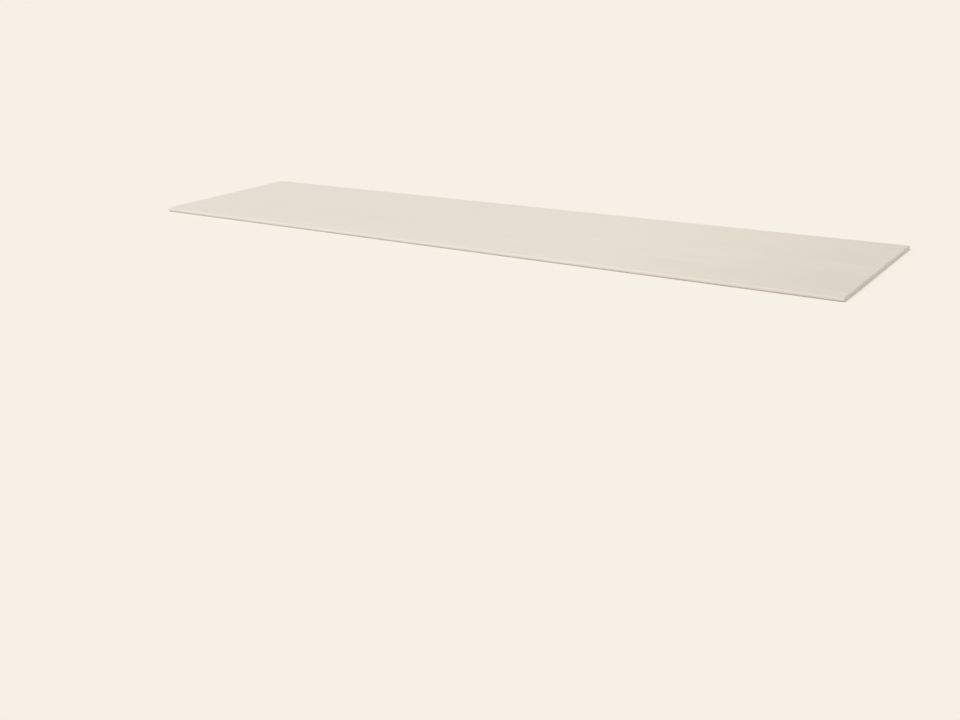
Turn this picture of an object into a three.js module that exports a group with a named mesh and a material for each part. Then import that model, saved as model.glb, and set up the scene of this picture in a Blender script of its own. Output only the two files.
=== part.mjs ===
// Drywall sheet: one gypsum board with half-round tapered long edges and square-cut ends.
// Millimetres, +Z up. The board lies flat with its face side up. X runs along its length, and
// the origin is the middle of its back.
//
// The board is one solid: a foamed gypsum core bonded between two papers. The face paper covers
// the face, turns round both long edges and laps under onto the back, where the narrower back
// liner is laid over it. The section is the same from end to end, because the board is formed
// as one endless ribbon and cut to length.

import * as THREE from "three";

// Overall size
const LENGTH = 2500; // cut end to cut end
const WIDTH = 600; // over the two paper-bound edges
const THICKNESS = 12.5; // back liner to face, anywhere between the two tapers

// Face side: both long edges are pressed thinner, which leaves room for joint tape and filler
const TAPER_WIDTH = 50; // from the bound edge to where the face is level
const TAPER_DEPTH = 1.3; // drop of the face beside the bound edge
const TAPER_SOFTNESS = 0.35; // curve handles at the slope's two ends, as a share of its run

// Back side: a strip of the face paper's lap shows outside the back liner
const LAP_WIDTH = 22; // from the bound edge to the liner's edge
const LINER_PAPER = 0.3; // thickness of the liner, which stands proud of the lap

const CURVE_SEGMENTS = 24; // how finely the section's curves are divided

// The bound edge is half a circle, as tall as the board is there: from the lap to the slope's foot.
const edgeRadius = (THICKNESS - TAPER_DEPTH - LINER_PAPER) / 2;
const edgeCentreY = WIDTH / 2 - edgeRadius;
const edgeCentreZ = LINER_PAPER + edgeRadius;

// The slope runs from the top of that half circle up to the level face.
const slopeFootZ = THICKNESS - TAPER_DEPTH;
const slopeTopY = WIDTH / 2 - TAPER_WIDTH;
const slopeHandle = TAPER_SOFTNESS * (edgeCentreY - slopeTopY);

const linerEdgeY = WIDTH / 2 - LAP_WIDTH;

// Section of the edge on the +Y side, drawn from the back liner round to the face. A section's
// x is the board's Y, and its y is the board's Z.
function drawRightEdge(section) {
  section.lineTo(linerEdgeY, LINER_PAPER);
  section.lineTo(edgeCentreY, LINER_PAPER);
  section.absarc(edgeCentreY, edgeCentreZ, edgeRadius, -Math.PI / 2, Math.PI / 2);
  section.bezierCurveTo(
    edgeCentreY - slopeHandle, slopeFootZ,
    slopeTopY + slopeHandle, THICKNESS,
    slopeTopY, THICKNESS,
  );
}

// Section of the edge on the -Y side, drawn from the face round to the back liner.
function drawLeftEdge(section) {
  section.bezierCurveTo(
    -slopeTopY - slopeHandle, THICKNESS,
    -edgeCentreY + slopeHandle, slopeFootZ,
    -edgeCentreY, slopeFootZ,
  );
  section.absarc(-edgeCentreY, edgeCentreZ, edgeRadius, Math.PI / 2, 1.5 * Math.PI);
  section.lineTo(-linerEdgeY, LINER_PAPER);
}

function boardSection() {
  const section = new THREE.Shape();
  section.moveTo(-linerEdgeY, 0);
  section.lineTo(linerEdgeY, 0);
  drawRightEdge(section);
  section.lineTo(-slopeTopY, THICKNESS);
  drawLeftEdge(section);
  section.closePath();
  return section;
}

const facePaper = new THREE.MeshStandardMaterial({
  color: 0xe5dfd3, // ivory
  roughness: 0.85,
  metalness: 0,
});

function drywallSheet() {
  const ribbon = new THREE.ExtrudeGeometry(boardSection(), {
    depth: LENGTH,
    bevelEnabled: false,
    curveSegments: CURVE_SEGMENTS,
  });
  const sheet = new THREE.Mesh(ribbon, facePaper);
  sheet.name = "drywall_sheet";
  sheet.rotation.set(Math.PI / 2, 0, Math.PI / 2, "ZYX"); // section upright, ribbon along X
  sheet.position.x = -LENGTH / 2;
  return sheet;
}

const board = new THREE.Group();
board.add(drywallSheet());

export default board;
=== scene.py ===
"""A drywall sheet lying face up: a gypsum board bound in paper, with its two ends sawn square."""

import math

import bmesh
import bpy
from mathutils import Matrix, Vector


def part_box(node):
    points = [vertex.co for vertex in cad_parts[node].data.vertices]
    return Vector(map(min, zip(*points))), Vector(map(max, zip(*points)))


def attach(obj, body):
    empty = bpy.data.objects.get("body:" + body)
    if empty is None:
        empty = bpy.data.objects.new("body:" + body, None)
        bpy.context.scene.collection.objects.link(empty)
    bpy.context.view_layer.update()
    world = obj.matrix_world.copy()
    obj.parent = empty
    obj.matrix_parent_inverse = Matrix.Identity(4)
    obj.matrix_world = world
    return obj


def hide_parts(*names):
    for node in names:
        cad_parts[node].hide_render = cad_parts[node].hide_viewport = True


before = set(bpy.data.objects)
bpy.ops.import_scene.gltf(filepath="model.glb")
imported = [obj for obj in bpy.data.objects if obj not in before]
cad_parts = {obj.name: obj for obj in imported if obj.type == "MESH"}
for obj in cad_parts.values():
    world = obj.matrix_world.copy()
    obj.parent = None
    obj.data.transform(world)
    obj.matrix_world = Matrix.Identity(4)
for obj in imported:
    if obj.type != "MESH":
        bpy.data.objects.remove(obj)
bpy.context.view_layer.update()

# ---------------------------------------------------------------------------------------------
# Camera: it stands in front of the sheet's right end and a little above it, and looks across the
# sheet towards the back left. It leans a little over to its right.

CAMERA_PLACE = (2.001, -2.887, 0.796)
CAMERA_TURN = (70.30, 2.09, 34.88)  # degrees, in Blender's XYZ order
SENSOR_WIDTH = 36.0  # mm
LENS = 40.70  # mm

bpy.ops.object.camera_add(
    location=CAMERA_PLACE,
    rotation=[math.radians(turn) for turn in CAMERA_TURN],
)
camera = bpy.context.object
camera.name = "camera"
camera.data.sensor_fit = "HORIZONTAL"
camera.data.sensor_width = SENSOR_WIDTH
camera.data.lens = LENS
bpy.context.scene.camera = camera

# ---------------------------------------------------------------------------------------------
# Studio: a wide matt floor of a warm pale colour, under a soft light from all round. One broad
# lamp high on the front left gives the sheet its form. The backdrop has the floor's colour.

FLOOR_COLOUR = (0.930, 0.871, 0.791, 1.0)
FLOOR_RADIUS = 90.0
FLOOR_SIDES = 96
SKY_COLOUR = (1.0, 1.0, 1.0, 1.0)
SKY_STRENGTH = 0.62
LAMP_TURN = (26.0, -16.0, 0.0)  # degrees, from straight down
LAMP_STRENGTH = 1.38
LAMP_SPREAD = 40.0  # degrees across, which makes the shadows soft

bpy.ops.object.select_all(action="DESELECT")
bpy.ops.mesh.primitive_circle_add(vertices=FLOOR_SIDES, radius=FLOOR_RADIUS, fill_type="NGON")
floor = bpy.context.object
floor.name = "studio_floor"
floor_finish = bpy.data.materials.new("matt floor")
floor_finish.use_nodes = True
floor_shader = floor_finish.node_tree.nodes["Principled BSDF"]
floor_shader.inputs["Base Color"].default_value = FLOOR_COLOUR
floor_shader.inputs["Roughness"].default_value = 1.0
floor_shader.inputs["Specular IOR Level"].default_value = 0.0
floor.data.materials.append(floor_finish)

bpy.ops.object.light_add(type="SUN", rotation=[math.radians(turn) for turn in LAMP_TURN])
lamp = bpy.context.object
lamp.name = "broad_lamp"
lamp.data.energy = LAMP_STRENGTH
lamp.data.angle = math.radians(LAMP_SPREAD)

studio = bpy.data.worlds.new("studio")
studio.use_nodes = True
bpy.context.scene.world = studio
room = studio.node_tree
sky = room.nodes["Background"]
sky.inputs["Color"].default_value = SKY_COLOUR
sky.inputs["Strength"].default_value = SKY_STRENGTH
backdrop = room.nodes.new("ShaderNodeBackground")
backdrop.inputs["Color"].default_value = FLOOR_COLOUR
seen = room.nodes.new("ShaderNodeLightPath")
either = room.nodes.new("ShaderNodeMixShader")
room.links.new(seen.outputs["Is Camera Ray"], either.inputs[0])
room.links.new(sky.outputs[0], either.inputs[1])
room.links.new(backdrop.outputs[0], either.inputs[2])
room.links.new(either.outputs[0], room.nodes["World Output"].inputs["Surface"])
bpy.context.scene.view_settings.view_transform = "Standard"

# ---------------------------------------------------------------------------------------------
# Core: foamed gypsum, poured as a slurry between two papers and set as one long ribbon. The
# forming plate presses both margins of the face down in a soft slope, to leave room for joint
# tape, and the paper that turns round the ribbon gives it half-round sides.

TAPER_WIDTH = 0.050  # from the side to where the face is level
TAPER_DROP = 0.0013
LINER_PAPER = 0.0003  # the liner lies under the core
GYPSUM_COLOUR = (0.810, 0.770, 0.707)
GYPSUM_ROUGHNESS = 0.86
PORE_PAINTED_SHADE = 0.52  # painted shade: how dark the open pores are drawn, as shade falls into them, against the gypsum round them

GRAIN_SIZE = (0.0009, 0.0009, 0.0009)  # of a pattern's marks, along x, y and z
GRAIN_SHADE = 0.34  # how far they make the colour lighter or darker
GRAIN_HEIGHT = 0.0004
LUMP_SIZE = (0.006, 0.006, 0.006)  # where it set denser
LUMP_SHADE = 0.16
DRAG_SIZE = (0.004, 0.0008, 0.012)  # what the saw tears out, in upright lines
DRAG_SHADE = 0.16
DRAG_HEIGHT = 0.0002
BUBBLE_SPACING = 0.0007  # pores come in three sizes, of which the bubbles are the finest
BUBBLE_WALL = (0.94, 0.52)  # where their walls start and end, on a scale of one spacing
BUBBLE_DEPTH = 0.0001
VOID_SPACING = 0.0019
VOID_WALL = (0.64, 0.38)
VOID_DEPTH = 0.000225
BLISTER_SPACING = 0.0056
BLISTER_WALL = (0.36, 0.22)
BLISTER_DEPTH = 0.00055

LEVEL_PITCH = 0.010  # mesh rows across the level face
SLOPE_ROWS = 11
ROUND_STEPS = 12  # in each quarter turn of the sides
STRIP_LENGTH = 0.025  # mesh strips along the sheet
SQUARE = 0.9  # a face looks along an axis, or an edge runs along it, past this cosine
TINY = 1e-5
SORT_PLACE = (-1.7, -0.9, 0.6)  # off to one side, so that no two parts lie equally far from it

low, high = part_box("drywall_sheet")
half_length = high.x
half_width = high.y
thickness = high.z - low.z
slope_top = half_width - TAPER_WIDTH
side_radius = (thickness - TAPER_DROP - LINER_PAPER) / 2
slope_foot = half_width - side_radius


class Value:
    """A number that a shader socket gives. Plain arithmetic on it adds the Math nodes."""

    def __init__(self, finish, socket):
        self.finish = finish
        self.socket = socket

    def math(self, operation, first, second):
        return self.finish.add("Math", {"operation": operation}, {0: first, 1: second})

    def swing(self, amount):
        """The number's ups and downs about a half, made that strong."""
        return (self - 0.5) * amount

    def __add__(self, other):
        return self.math("ADD", self, other)

    def __sub__(self, other):
        return self.math("SUBTRACT", self, other)

    def __rsub__(self, other):
        return self.math("SUBTRACT", other, self)

    def __mul__(self, other):
        return self.math("MULTIPLY", self, other)

    __radd__ = __add__
    __rmul__ = __mul__


class Finish:
    """One material, whose patterns keep to the sheet's own metres."""

    def __init__(self, name):
        self.material = bpy.data.materials.new(name)
        self.material.use_nodes = True
        self.tree = self.material.node_tree
        self.shader = self.tree.nodes["Principled BSDF"]
        self.place = self.add("TexCoord", {}, {}, "Object")

    def fill(self, node, sockets):
        """Sets a node's sockets, by name or number, to plain values or to other nodes' outputs."""
        for key, value in sockets.items():
            socket = node.inputs[key]
            if isinstance(value, Value):
                self.tree.links.new(value.socket, socket)
            elif socket.type == "RGBA":
                socket.default_value = (*value, 1)
            else:
                socket.default_value = value

    def add(self, kind, settings, sockets, output=0):
        """Adds a node, its settings first, and gives back one of its outputs."""
        node = self.tree.nodes.new(f"ShaderNode{kind}")
        for key, value in settings.items():
            setattr(node, key, value)
        self.fill(node, sockets)
        return Value(self, node.outputs[output])

    def along(self, axis):
        """How far along an axis of the sheet a point lies, in metres."""
        return self.add("SeparateXYZ", {}, {0: self.place}, axis)

    def noise(self, size, detail=2.0, roughness=0.5):
        """Soft noise from about 0 to 1, whose blobs have that size in metres along x, y and z."""
        scale = [1 / part for part in size]
        spread = self.add("Mapping", {}, {"Vector": self.place, "Scale": scale})
        sockets = {"Vector": spread, "Scale": 1.0, "Detail": detail, "Roughness": roughness}
        return self.add("TexNoise", {}, sockets, "Fac")

    def cells(self, spacing):
        """How far off the nearest of many scattered points is, with their spacing as 1."""
        return self.add("TexVoronoi", {}, {"Vector": self.place, "Scale": 1 / spacing}, "Distance")

    def ramp(self, value, start, end):
        """A number's way from start to end, as a soft step from 0 to 1."""
        sockets = {"Value": value, "From Min": start, "From Max": end}
        return self.add("MapRange", {"interpolation_type": "SMOOTHSTEP"}, sockets)

    def blend(self, mask, first, second):
        """The first colour where the mask is 0, and the second where it is 1."""
        # The node takes its two colours in sockets 6 and 7, and gives one from its output 2
        return self.add("Mix", {"data_type": "RGBA"}, {0: mask, 6: first, 7: second}, 2)

    def scale(self, colour, shade):
        """A colour made lighter or darker by a number round 1."""
        return self.add("VectorMath", {"operation": "SCALE"}, {0: colour, "Scale": shade})

    def coat(self, colour, roughness, relief):
        """Joins the patterns to the shader. The relief is how far it stands out, in metres."""
        bump = self.add("Bump", {}, {"Height": relief, "Distance": 1.0})
        self.fill(self.shader, {"Base Color": colour, "Roughness": roughness, "Normal": bump})


def select(kind, wanted):
    """Selects the shown verts, edges or faces of the edit mesh that pass a test, and no others."""
    modes = {"verts": "VERT", "edges": "EDGE", "faces": "FACE"}
    bpy.ops.mesh.select_mode(type=modes[kind])
    bpy.ops.mesh.select_all(action="DESELECT")
    mesh = bmesh.from_edit_mesh(board.data)
    for item in getattr(mesh, kind):
        if not item.hide and wanted(item):
            item.select_set(True)
    mesh.select_flush_mode()
    bmesh.update_edit_mesh(board.data)


def spot(item):
    """Where a vert, edge or face lies, with x and y as plain distances from the sheet's middle."""
    verts = getattr(item, "verts", [item])
    middle = sum((vert.co for vert in verts), Vector()) / len(verts)
    return Vector((abs(middle.x), abs(middle.y), middle.z))


def run(edge):
    """The way an edge runs, without its sign."""
    way = (edge.verts[1].co - edge.verts[0].co).normalized()
    return Vector([abs(part) for part in way])


def cut_across(place, wanted=lambda face: True):
    """Cuts the faces that pass a test along the sheet, on both sides of its middle."""
    for side in (-1, 1):
        select("faces", wanted)
        bpy.ops.mesh.bisect(plane_co=(0, side * place, 0), plane_no=(0, 1, 0), threshold=TINY)


def put_in_order():
    """Sorts the mesh by place, because an extrusion adds its parts in a new order at each run."""
    bpy.context.scene.cursor.location = SORT_PLACE
    bpy.ops.mesh.select_all(action="SELECT")
    bpy.ops.mesh.sort_elements(type="CURSOR_DISTANCE", elements={"VERT", "EDGE", "FACE"})


# The ribbon, as wide as its level back and marked off across its width
bpy.ops.object.select_all(action="DESELECT")
bpy.ops.mesh.primitive_cube_add(
    size=1,
    location=(0, 0, (LINER_PAPER + thickness) / 2),
    scale=(2 * half_length, 2 * slope_foot, thickness - LINER_PAPER),
)
board = bpy.context.object
board.name = "board"
bpy.ops.object.transform_apply(location=True, rotation=True, scale=True)
bpy.ops.object.mode_set(mode="EDIT")
for row in range(round(slope_top / LEVEL_PITCH) + 1):
    cut_across(row * LEVEL_PITCH)
for row in range(1, SLOPE_ROWS):
    cut_across(slope_top + (slope_foot - slope_top) * row / SLOPE_ROWS)

# Both margins of the face, pressed down
select("faces", lambda face: face.normal.z > SQUARE)
bpy.ops.mesh.hide(unselected=True)
select("verts", lambda vert: spot(vert).y > slope_foot - TINY)
bpy.ops.transform.translate(
    value=(0, 0, -TAPER_DROP),
    use_proportional_edit=True,
    proportional_edit_falloff="SMOOTH",
    proportional_size=slope_foot - slope_top,
)
bpy.ops.mesh.reveal(select=False)

# Both sides, pulled out square and rounded off above and below until the two curves meet
select("faces", lambda face: abs(face.normal.y) > SQUARE and spot(face).y > slope_foot - TINY)
bpy.ops.mesh.extrude_region_shrink_fatten(TRANSFORM_OT_shrink_fatten={"value": side_radius})
put_in_order()
select("edges", lambda edge: run(edge).x > SQUARE and spot(edge).y > half_width - TINY)
bpy.ops.mesh.bevel(offset=side_radius, segments=ROUND_STEPS, profile=0.5, clamp_overlap=False)
bpy.ops.mesh.select_all(action="SELECT")
bpy.ops.mesh.remove_doubles(threshold=TINY)
select("edges", lambda edge: run(edge).x > SQUARE)
bpy.ops.mesh.subdivide(number_cuts=round(2 * half_length / STRIP_LENGTH) - 1)

gypsum = Finish("foamed gypsum")
grain = gypsum.noise(GRAIN_SIZE, detail=5.0, roughness=0.75)
lumps = gypsum.noise(LUMP_SIZE, detail=3.0, roughness=0.6)
drag = gypsum.noise(DRAG_SIZE)
# Pores are round about scattered points. The grain roughens them, and the lumps make some small.
bubbles = gypsum.ramp(gypsum.cells(BUBBLE_SPACING) + grain * 0.6 + lumps * 0.6, *BUBBLE_WALL)
voids = gypsum.ramp(gypsum.cells(VOID_SPACING) + grain * 0.3 + lumps * 0.6, *VOID_WALL)
blisters = gypsum.ramp(gypsum.cells(BLISTER_SPACING) + grain * 0.14 + lumps * 0.3, *BLISTER_WALL)
painted_pore_shade = 1 - (1 - bubbles * 0.6) * (1 - voids * 0.9) * (1 - blisters)  # painted shade in the pores; the fine ones get less of it
body = 1 + grain.swing(GRAIN_SHADE) + lumps.swing(LUMP_SHADE) + drag.swing(DRAG_SHADE)
gypsum.coat(
    # The pores get painted shade, darker where they are deep
    colour=gypsum.scale(GYPSUM_COLOUR, body * (1 - painted_pore_shade * (1 - PORE_PAINTED_SHADE))),
    roughness=GYPSUM_ROUGHNESS + grain * 0.12,
    relief=grain * GRAIN_HEIGHT
    + drag * DRAG_HEIGHT
    - bubbles * BUBBLE_DEPTH
    - voids * VOID_DEPTH
    - blisters * BLISTER_DEPTH,
)

# ---------------------------------------------------------------------------------------------
# Face paper: several plies of ivory board paper, pressed smooth. It covers the face, turns round
# both sides, and laps a little way under onto the back. The gypsum grows into its fibres as it
# sets, which is all that holds it.

FACE_PAPER = 0.0004  # as its cut edge shows at the ends
IVORY_COLOUR = (0.794, 0.742, 0.647)
PAINTED_SHADE_COLOUR = (0.778, 0.711, 0.608)  # painted shade: darker and pinker from the sheet's middle on, towards its right end, where the light falls off
PAINTED_SHADE_SPAN = (0.35, 0.85)  # where along the sheet the painted shade starts and is full
DEEP_SHADE_COLOUR = (0.720, 0.658, 0.578)  # deeper painted shade nearest the right end, where the light falls off most
DEEP_SHADE_SPAN = (0.75, 1.30)
ROUND_TINT_COLOUR = (0.730, 0.718, 0.722)  # painted tint, cooler and a little darker, down the rounds of the sides, which cancels the warm light that the floor throws up onto them
ROUND_TINT = 0.5  # how strongly the painted tint covers the paper there
PAPER_ROUGHNESS = 0.66

STREAK_SIZE = (0.70, 0.050, 0.050)  # streaks run along the sheet, as the paper was made
STREAK_SHADE = 0.050
SHADED_STREAK_SHADE = 0.110  # the streaks' further strength where the painted shade lies
CLOUD_SIZE = (0.014, 0.009, 0.009)  # mottling of the pulp
CLOUD_SHADE = 0.050
CLOUD_HEIGHT = 0.000024
DRIFT_SIZE = (0.70, 0.35, 0.35)  # slow change all over the sheet
DRIFT_SHADE = 0.020
SHADED_DRIFT_SHADE = 0.030
FIBRE_SIZE = (0.0030, 0.0004, 0.0004)  # fibres lie along the sheet
FIBRE_SHADE = 0.140
FIBRE_HEIGHT = 0.000056
RUB_SIZE = (0.45, 0.0035, 0.0035)  # thin lines rubbed smooth where the sheet was slid
RUB_SHADE = 0.012
SMEAR_SIZE = (0.13, 0.045, 0.045)  # faint smears from handling
SMEAR_SHADE = 0.014
DEEP_SHADE_SMEAR_SHADE = 0.030  # the smears' further strength where the deeper painted shade lies
SPECK_SPACING = 0.030  # dark specks in the pulp
SPECK_EDGE = (0.016, 0.008)  # where their edges start and end, on a scale of one spacing
SPECK_SHADE = 0.12


def finish_faces(finish, wanted):
    """Gives the faces that pass a test one of the board's finishes."""
    select("faces", wanted)
    if finish.material.name not in board.data.materials:
        board.data.materials.append(finish.material)
    board.active_material_index = board.data.materials.find(finish.material.name)
    bpy.ops.object.material_slot_assign()


face_paper = Finish("ivory face paper")
streaks = face_paper.noise(STREAK_SIZE, detail=4.0, roughness=0.6)
clouds = face_paper.noise(CLOUD_SIZE, detail=3.0, roughness=0.6)
drift = face_paper.noise(DRIFT_SIZE)
fibres = face_paper.noise(FIBRE_SIZE, detail=3.0, roughness=0.6)
rubs = face_paper.ramp(face_paper.noise(RUB_SIZE, detail=1.0), start=0.66, end=0.78)
rubbed = rubs * face_paper.ramp(drift, start=0.45, end=0.62)
smears = face_paper.ramp(
    face_paper.noise(SMEAR_SIZE, detail=4.0, roughness=0.6), start=0.58, end=0.80
)
specks = face_paper.ramp(face_paper.cells(SPECK_SPACING), *SPECK_EDGE)
# Painted shade: the paper turns darker and pinker towards the right end, where the light falls off
shade_reach = face_paper.along("X") + streaks.swing(0.5) + drift.swing(0.4)  # roughened, so that no edge of the painted shade is straight
painted_shade = face_paper.ramp(shade_reach, *PAINTED_SHADE_SPAN)
deep_shade = face_paper.ramp(shade_reach, *DEEP_SHADE_SPAN)
# Painted tint down the rounds of the sides, strongest low down, which cancels the floor's warm
# bounced light there
round_top = thickness - TAPER_DROP
round_middle = LINER_PAPER + side_radius
round_tint = face_paper.ramp(face_paper.along("Z"), round_top, round_middle) * ROUND_TINT
shaded_paper = face_paper.blend(painted_shade, IVORY_COLOUR, PAINTED_SHADE_COLOUR)
deep_shaded_paper = face_paper.blend(deep_shade, shaded_paper, DEEP_SHADE_COLOUR)
round_tinted = face_paper.blend(round_tint, deep_shaded_paper, ROUND_TINT_COLOUR)
ivory_shade = (
    1
    + streaks.swing(STREAK_SHADE + painted_shade * SHADED_STREAK_SHADE)
    + clouds.swing(CLOUD_SHADE)
    + drift.swing(DRIFT_SHADE + painted_shade * SHADED_DRIFT_SHADE)
    + fibres.swing(FIBRE_SHADE)
    - rubbed * RUB_SHADE
    - smears * (SMEAR_SHADE + deep_shade * DEEP_SHADE_SMEAR_SHADE)
    - specks * SPECK_SHADE
)
face_paper.coat(
    colour=face_paper.scale(round_tinted, ivory_shade),
    roughness=PAPER_ROUGHNESS + clouds.swing(0.12) + deep_shade * 0.08 - rubbed * 0.10,
    relief=fibres * FIBRE_HEIGHT + clouds * CLOUD_HEIGHT,
)
finish_faces(face_paper, lambda face: True)

# ---------------------------------------------------------------------------------------------
# Back liner: one sheet of grey paper made from mixed waste, laid on last over the two laps and
# stuck to them with starch. Its edges stand one paper proud of the laps along both sides.

LAP_WIDTH = 0.022  # the strip of face paper left bare beside each of its edges
GREY_COLOUR = (0.470, 0.430, 0.362)
FLECK_COLOUR = (0.300, 0.275, 0.240)
LINER_ROUGHNESS = 0.80

PULP_SIZE = (0.010, 0.006, 0.006)  # mottled pulp
PULP_SHADE = 0.24
PULP_HEIGHT = 0.000018
BAND_SIZE = (0.80, 0.022, 0.022)  # bands along the sheet
BAND_SHADE = 0.10
HAIR_SIZE = (0.0035, 0.0005, 0.0005)  # single fibres
HAIR_SHADE = 0.32
HAIR_HEIGHT = 0.000042
FLECK_SPACING = 0.0048  # dark flecks of print and ink in the waste
FLECK_EDGE = (0.13, 0.05)

liner_edge = half_width - LAP_WIDTH
cut_across(liner_edge)
select("faces", lambda face: face.normal.z < -SQUARE and spot(face).y < liner_edge)
bpy.ops.mesh.extrude_region_move(TRANSFORM_OT_translate={"value": (0, 0, -LINER_PAPER)})
put_in_order()

back_liner = Finish("grey liner paper")
pulp = back_liner.noise(PULP_SIZE, detail=4.0, roughness=0.65)
bands = back_liner.noise(BAND_SIZE, detail=3.0)
hairs = back_liner.noise(HAIR_SIZE, detail=3.0, roughness=0.6)
flecks = back_liner.ramp(back_liner.cells(FLECK_SPACING), *FLECK_EDGE)
flecked = back_liner.blend(flecks * 0.6, GREY_COLOUR, FLECK_COLOUR)
liner_shade = 1 + pulp.swing(PULP_SHADE) + bands.swing(BAND_SHADE) + hairs.swing(HAIR_SHADE)
back_liner.coat(
    colour=back_liner.scale(flecked, liner_shade),
    roughness=LINER_ROUGHNESS + pulp.swing(0.10),
    relief=hairs * HAIR_HEIGHT + pulp * PULP_HEIGHT,
)
finish_faces(
    back_liner,
    lambda face: spot(face).z < LINER_PAPER - TINY and spot(face).y < liner_edge + TINY,
)

# ---------------------------------------------------------------------------------------------
# Sawn ends: the ribbon is cut to length with a saw, which leaves the cut edge of both papers
# standing round the core, with a thin ledge of gypsum along the liner. The rest of the gypsum
# breaks away a little behind them, in hollows and crumbs.

SAW_DEPTH = 0.0001  # how far the core lies behind the papers' cut edge
CRUMBLE = 0.0001  # what the saw breaks off the core along the papers
END_STRIP = 0.002  # a short strip of mesh behind each end
CORE_ROWS = 16
CUT_PITCH = 0.0007  # mesh pitch along the ends
LEANING = 0.2  # the core's rim slopes, and looks along the sheet by more than this cosine
HOLLOW_SIZE = 0.006  # soft hollows in the core
HOLLOW_DEPTH = 0.0008
CRUMB_SIZE = 0.0025  # crumbs torn out of it
CRUMB_DEPTH = 0.0006
FRAY_SIZE = 0.003  # frays in the papers' cut edge
FRAY_DEPTH = 0.0002
WANDER_SIZE = 0.20  # the long sides leave a straight line a little
WANDER_DEPTH = 0.0005
SMOOTH_ANGLE = 30  # degrees between faces, past which an edge stays sharp
MANY_CORNERS = 5  # from which a face is cut into triangles


def on_end(item):
    """Whether something lies on either sawn end."""
    return spot(item).x > half_length - TINY


def on_core(item):
    """Whether something lies on the bare core of either end."""
    return abs(spot(item).x - half_length + SAW_DEPTH) < TINY


def on_side(item):
    """Whether something lies on the round of either side."""
    return spot(item).y > slope_foot + TINY


def on_ledge(item):
    """Whether something lies on the thin ledge of gypsum that holds to the liner at either end."""
    place = spot(item)
    over_liner = LINER_PAPER < place.z < LINER_PAPER + FACE_PAPER
    return on_end(item) and over_liner and place.y < liner_edge


def divide(wanted, parts):
    """Divides the edges that pass a test into equal parts."""
    select("edges", wanted)
    bpy.ops.mesh.subdivide(number_cuts=parts - 1)


def divide_ends(start, stop, pitch):
    """Divides both ends into narrow columns between two distances from the sheet's middle."""
    divide(
        lambda edge: run(edge).y > SQUARE
        and spot(edge).x > half_length - 2 * SAW_DEPTH
        and start < spot(edge).y < stop,
        round(pitch / CUT_PITCH),
    )


def wear(mark, part, axis, pattern, size, depth, contrast):
    """Draws a part of both ends or both sides inwards in a pattern, by up to that depth."""
    texture = bpy.data.textures.new(mark, "CLOUDS")
    texture.noise_basis = pattern
    texture.noise_scale = size
    texture.contrast = contrast
    texture.use_clamp = True
    for way in (-1, 1):
        marks = board.modifiers.new(mark, "DISPLACE")
        marks.vertex_group = f"{part} {way}"
        marks.texture = texture
        marks.texture_coords = "LOCAL"
        marks.direction = axis
        marks.mid_level = 1.0
        marks.strength = way * depth
        bpy.ops.object.modifier_apply(modifier=marks.name)


for end in (-1, 1):
    select("faces", lambda face: True)
    bpy.ops.mesh.bisect(plane_co=(end * (half_length - END_STRIP), 0, 0), plane_no=(1, 0, 0))
for step in range(1, ROUND_STEPS):
    reach = side_radius * math.sin(math.pi / 2 * step / ROUND_STEPS)
    cut_across(slope_foot + reach, on_end)
select("faces", lambda face: on_end(face) and spot(face).z > LINER_PAPER)
bpy.ops.mesh.inset(thickness=FACE_PAPER)
bpy.ops.mesh.inset(thickness=CRUMBLE, depth=-SAW_DEPTH)
divide(
    lambda edge: run(edge).z > SQUARE and all(on_core(face) for face in edge.link_faces),
    CORE_ROWS,
)
divide_ends(0, slope_top, LEVEL_PITCH)
divide_ends(slope_top, slope_foot, (slope_foot - slope_top) / SLOPE_ROWS)
finish_faces(
    gypsum,
    lambda face: half_length - END_STRIP < spot(face).x < half_length - TINY
    and abs(face.normal.x) > LEANING,
)
finish_faces(gypsum, on_ledge)

# Hollows and crumbs in the core, frays in the papers' cut edge, and sides that wander a little
for name, wanted, axis in (("core", on_core, 0), ("rim", on_end, 0), ("side", on_side, 1)):
    for way in (-1, 1):
        select("verts", lambda vert: wanted(vert) and vert.co[axis] * way > 0)
        bpy.ops.object.vertex_group_add()
        board.vertex_groups.active.name = f"{name} {way}"
        bpy.ops.object.vertex_group_assign()
bpy.ops.object.mode_set(mode="OBJECT")
wear("hollows", "core", "X", "BLENDER_ORIGINAL", HOLLOW_SIZE, HOLLOW_DEPTH, contrast=3.0)
wear("crumbs", "core", "X", "VORONOI_F1", CRUMB_SIZE, CRUMB_DEPTH, contrast=1.6)
wear("frays", "rim", "X", "BLENDER_ORIGINAL", FRAY_SIZE, FRAY_DEPTH, contrast=1.0)
wear("wander", "side", "Y", "BLENDER_ORIGINAL", WANDER_SIZE, WANDER_DEPTH, contrast=2.4)

# Faces with more than four corners, where fine rows meet coarse ones, are made triangles
triangles = board.modifiers.new("triangles", "TRIANGULATE")
triangles.min_vertices = MANY_CORNERS
bpy.ops.object.modifier_apply(modifier=triangles.name)
bpy.ops.object.shade_smooth_by_angle(angle=math.radians(SMOOTH_ANGLE))

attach(board, "root")
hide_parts("drywall_sheet")
